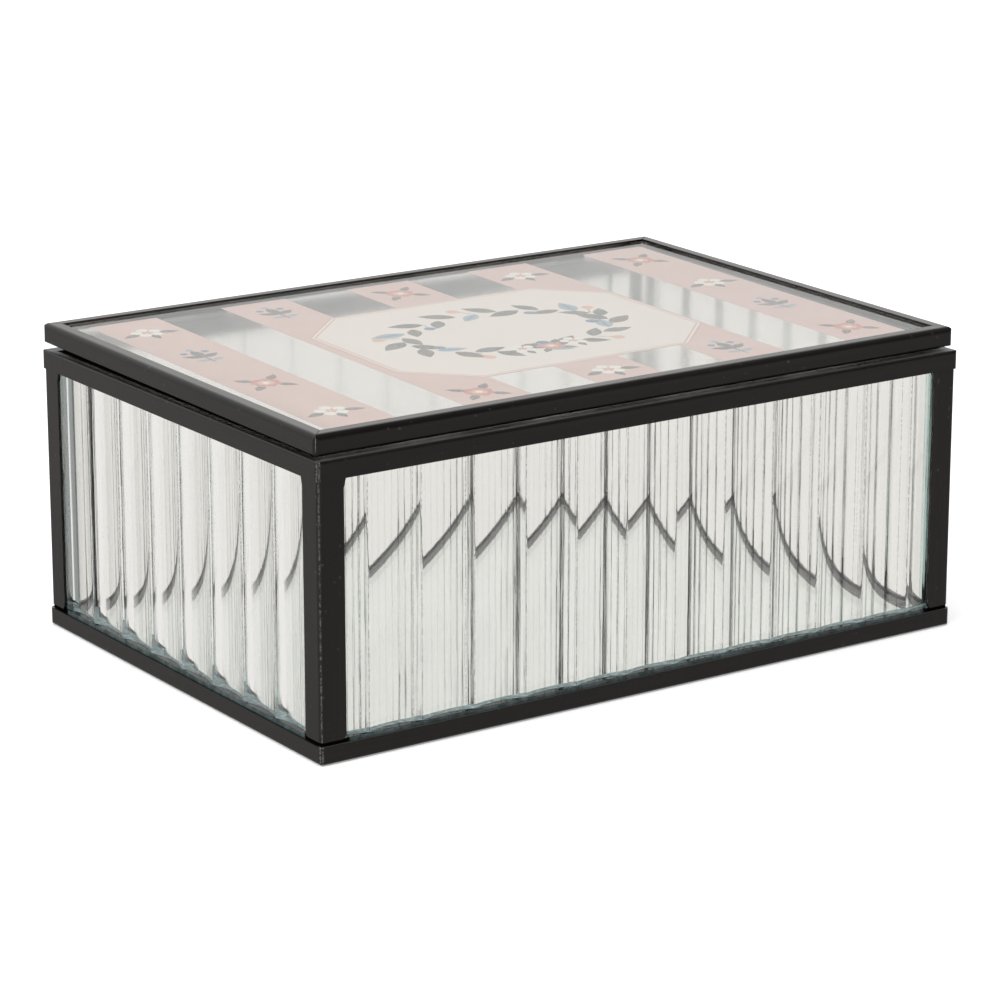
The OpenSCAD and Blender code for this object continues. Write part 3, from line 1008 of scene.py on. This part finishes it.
def printed_marks_tree():
    """Repeats a shape on points, turned and sized by the points' own attributes."""
    tree, given, result = geometry_tree(
        "printed_marks", [("Points", "Geometry"), ("Shape", "Object"), ("Material", "Material")]
    )
    shape = add_node(tree, "GeometryNodeObjectInfo")
    wire(tree, given.outputs["Shape"], shape.inputs["Object"])
    turn = add_node(tree, "GeometryNodeInputNamedAttribute", data_type="FLOAT")
    turn.inputs["Name"].default_value = "turn"
    size = add_node(tree, "GeometryNodeInputNamedAttribute", data_type="FLOAT")
    size.inputs["Name"].default_value = "size"
    spin = add_node(tree, "ShaderNodeCombineXYZ")
    wire(tree, turn.outputs[0], spin.inputs["Z"])
    flat = add_node(tree, "ShaderNodeCombineXYZ")
    flat.inputs["Z"].default_value = 1.0
    wire(tree, size.outputs[0], flat.inputs["X"])
    wire(tree, size.outputs[0], flat.inputs["Y"])
    repeat = add_node(tree, "GeometryNodeInstanceOnPoints")
    wire(tree, given.outputs["Points"], repeat.inputs["Points"])
    wire(tree, shape.outputs["Geometry"], repeat.inputs["Instance"])
    wire(tree, spin.outputs[0], repeat.inputs["Rotation"])
    wire(tree, flat.outputs[0], repeat.inputs["Scale"])
    realize = add_node(tree, "GeometryNodeRealizeInstances")
    wire(tree, repeat.outputs[0], realize.inputs[0])
    dye = add_node(tree, "GeometryNodeSetMaterial")
    wire(tree, realize.outputs[0], dye.inputs["Geometry"])
    wire(tree, given.outputs["Material"], dye.inputs["Material"])
    wire(tree, dye.outputs[0], result.inputs["Geometry"])
    return tree


def add_marks(tree, name, outline, top, places, colour):
    """Prints a shape at places (x, y, turn in degrees, size), all in one ink."""
    shape = shape_object(name + "_shape", outline, MARKS_UNDER, top)
    points = bpy.data.meshes.new(name + "_points")
    points.from_pydata([(x, y, 0.0) for x, y, _, _ in places], [], [])
    for label, values in (("turn", [math.radians(p[2]) for p in places]), ("size", [p[3] for p in places])):
        points.attributes.new(label, "FLOAT", "POINT").data.foreach_set("value", values)
    values = {"Shape": shape, "Material": INKS[colour]}
    obj = bake_tree(tree, name, values, points)
    obj.data.transform(closed_lid())
    bpy.data.objects.remove(shape)
    lay_print(obj)


# Shapes of single marks with the height of their ink, lower marks first
MARKS = {
    "stem": (leaf_outline(7.0, 0.55), 0.570),
    "leaf": (leaf_outline(5.0, 2.3), 0.572),
    "vein": (leaf_outline(4.3, 0.32), 0.574),
    "petal": (petal_outline(3.1, 2.3), 0.576),
    "inner_petal": (petal_outline(1.9, 1.2), 0.578),
    "dot": (round_outline(0.85), 0.580),
}


def ring(mark, colour, count, first=0.0, size=1.0, reach=0.0):
    """Marks in a ring, each pointing outwards from its start at this reach."""
    rows = []
    for i in range(count):
        turn = first + 360.0 * i / count
        a = math.radians(turn)
        rows.append((mark, colour, reach * math.cos(a), reach * math.sin(a), turn, size))
    return rows


# Motifs of marks, each as (mark, ink, x, y, turn, size) about the motif's middle
MOTIFS = {
    "rosette": ring("leaf", "umber", 4, 45.0, 0.92, 2.3)
    + ring("vein", "slate", 4, 45.0, 0.92, 2.3)
    + ring("petal", "rose", 7, 12.0, 1.05)
    + ring("inner_petal", "blush", 7, 38.0)
    + [("dot", "white", 0.0, 0.0, 0.0, 0.9)],
    "trefoil": [
        ("stem", "slate", 0.0, -6.0, 90.0, 1.0),
        ("leaf", "slate", 0.0, -0.4, 90.0, 1.1),
        ("leaf", "slate", 0.0, -1.0, 28.0, 0.95),
        ("leaf", "slate", 0.0, -1.0, 152.0, 0.95),
        ("leaf", "mist", 0.0, -3.8, 12.0, 0.7),
        ("leaf", "mist", 0.0, -3.8, 168.0, 0.7),
        ("dot", "blue", 2.5, 3.4, 0.0, 1.0),
        ("dot", "blue", -2.5, 3.4, 0.0, 1.0),
        ("dot", "mist", 0.0, 5.6, 0.0, 1.0),
    ],
    "star": [
        ("leaf", "umber", 2.2, -0.6, -18.0, 0.95),
        ("leaf", "umber", -2.2, -0.6, 198.0, 0.95),
        ("vein", "slate", 2.2, -0.6, -18.0, 0.95),
        ("vein", "slate", -2.2, -0.6, 198.0, 0.95),
        ("leaf", "slate", 0.0, -2.0, -90.0, 0.8),
    ]
    + ring("petal", "white", 5, 90.0, 1.15)
    + ring("inner_petal", "rose", 5, 54.0, 0.7)
    + [("dot", "blush", 0.0, 0.0, 0.0, 0.8)],
    "leaf": [("leaf", "slate", 0.0, 0.0, 0.0, 1.0), ("vein", "umber", 0.2, 0.0, 0.0, 1.0)],
    "autumn_leaf": [("leaf", "umber", 0.0, 0.0, 0.0, 1.0), ("vein", "slate", 0.2, 0.0, 0.0, 1.0)],
    "mist_leaf": [("leaf", "mist", 0.0, 0.0, 0.0, 1.0), ("vein", "blue", 0.2, 0.0, 0.0, 1.0)],
    "bud": [("stem", "umber", 0.0, 0.0, 0.0, 0.4), ("petal", "blush", 2.2, 0.0, 0.0, 0.9)],
    "berry": [("stem", "umber", 0.0, 0.0, 0.0, 0.4), ("dot", "blue", 2.9, 0.0, 0.0, 1.2)],
}

# Motifs down the stripes: for each stripe, (motif, y)
STRIPE_MOTIFS = (
    (("star", 39.5), ("trefoil", 15.5), ("rosette", -10.5), ("star", -36.0)),
    (("trefoil", 39.5), ("rosette", -40.0)),
    (("rosette", 40.5), ("star", -39.5)),
    (("star", 40.5), ("trefoil", -38.5)),
    (("rosette", 38.5), ("star", 12.0), ("trefoil", -12.5), ("rosette", -38.0)),
)

WREATH_HALF = (24.5, 16.0)
WREATH_LEAVES = 30
LEAF_MOTIFS = ("leaf", "autumn_leaf", "mist_leaf", "autumn_leaf", "leaf")
LEAF_SPREAD = 36
WREATH_SEED = 4
# Blooms at the foot of the wreath: (motif, x, y) from its lowest point
BLOOMS = (("rosette", 0.0, 0.0), ("star", -6.5, 1.2), ("star", 6.5, 1.2))
BLOOM_SIZE = 0.85


def wreath_places():
    """The wreath's leaves, buds and blooms round the panel: (motif, x, y, turn, size)."""
    chance = random.Random(WREATH_SEED)
    half_x, half_y = WREATH_HALF
    places = []
    for i in range(WREATH_LEAVES):
        a = 2 * math.pi * i / WREATH_LEAVES
        x = PANEL_MID[0] + half_x * math.cos(a)
        y = PANEL_MID[1] + half_y * math.sin(a)
        along = math.degrees(math.atan2(half_y * math.cos(a), -half_x * math.sin(a)))
        side = 1 if i % 2 else -1
        motif = LEAF_MOTIFS[i % len(LEAF_MOTIFS)]
        turn = along + side * (LEAF_SPREAD + chance.uniform(-9, 9))
        places.append((motif, x, y, turn, chance.uniform(1.35, 1.75)))
        if i % 3 == 1:
            motif = ("bud", "berry")[i // 3 % 2]
            turn = along - side * chance.uniform(45, 70)
            places.append((motif, x, y, turn, chance.uniform(1.2, 1.5)))
    for motif, x, y in BLOOMS:
        places.append((motif, PANEL_MID[0] + x, PANEL_MID[1] - half_y + y, 0.0, BLOOM_SIZE))
    return places


def stripe_places():
    """The stripes' motifs as (motif, x, y, turn, size)."""
    places = []
    for k, motifs in enumerate(STRIPE_MOTIFS):
        for motif, y in motifs:
            x, _ = leaned(STRIPE_START + STRIPE_STEP * k + STRIPE_W / 2, y)
            places.append((motif, x, y, 0.0, 1.0))
    return places


def print_motifs(tree, places):
    """Prints the motifs at (motif, x, y, turn, size), one piece for each mark and ink."""
    sheets = {}
    for motif, x, y, turn, size in places:
        c, s = size * math.cos(math.radians(turn)), size * math.sin(math.radians(turn))
        for mark, colour, dx, dy, mark_turn, mark_size in MOTIFS[motif]:
            mark_x, mark_y = x + c * dx - s * dy, y + s * dx + c * dy
            place = (mark_x, mark_y, turn + mark_turn, size * mark_size)
            sheets.setdefault((mark, colour), []).append(place)
    for (mark, colour), spots in sheets.items():
        add_marks(tree, "print_" + mark + "_" + colour, *MARKS[mark], spots, colour)


def panel_outline(inset):
    """The clipped panel's outline, this far inside its edge."""
    hx, hy = PANEL_HALF[0] - inset, PANEL_HALF[1] - inset
    clip = PANEL_CLIP - inset * (2 - math.sqrt(2))
    corners = [
        (hx, -hy + clip), (hx, hy - clip), (hx - clip, hy), (-hx + clip, hy),
        (-hx, hy - clip), (-hx, -hy + clip), (-hx + clip, -hy), (hx - clip, -hy),
    ]
    return [(PANEL_MID[0] + x + y * LEAN, PANEL_MID[1] + y) for x, y in corners]


def panel_line(outer, inner):
    """A line round the panel between two insets, as one outline for each side."""
    far, near = panel_outline(outer), panel_outline(inner)
    return [(far[i - 1], far[i], near[i], near[i - 1]) for i in range(len(far))]


def add_print():
    stripes = []
    for k in range(STRIPES):
        left = STRIPE_START + STRIPE_STEP * k
        right = left + STRIPE_W
        corners = ((left, FIELD_FRONT), (right, FIELD_FRONT), (right, FIELD_BACK), (left, FIELD_BACK))
        stripes.append([leaned(x, y) for x, y in corners])
    ink_piece("print_stripes", stripes, INK_UNDER, STRIPE_TOP, INKS["pink"])
    ink_piece("print_panel", [panel_outline(0)], PANEL_UNDER, PANEL_TOP, INKS["cream"])
    ink_piece("print_panel_edge", panel_line(*PANEL_EDGE), MARKS_UNDER, LINE_TOP, INKS["line"])
    ink_piece("print_panel_line", panel_line(*PANEL_LINE), MARKS_UNDER, LINE_TOP, INKS["line"])
    print_motifs(printed_marks_tree(), stripe_places() + wreath_places())


add_camera()
add_world()
add_floor()
add_lamp("top_softbox", azimuth=-20, elevation=82, distance=0.9, side=0.6, power=8.5)
add_lamp("left_softbox", azimuth=-95, elevation=35, distance=1.0, side=0.6, power=5.0)
add_panes()
dress_frame()
add_mirror()
add_lid_glass()
add_print()

scene = bpy.context.scene
scene.view_settings.view_transform = "Standard"
scene.cycles.max_bounces = 24
scene.cycles.transmission_bounces = 20
scene.cycles.transparent_max_bounces = 24
scene.cycles.glossy_bounces = 8
scene.cycles.caustics_reflective = False
scene.cycles.caustics_refractive = False
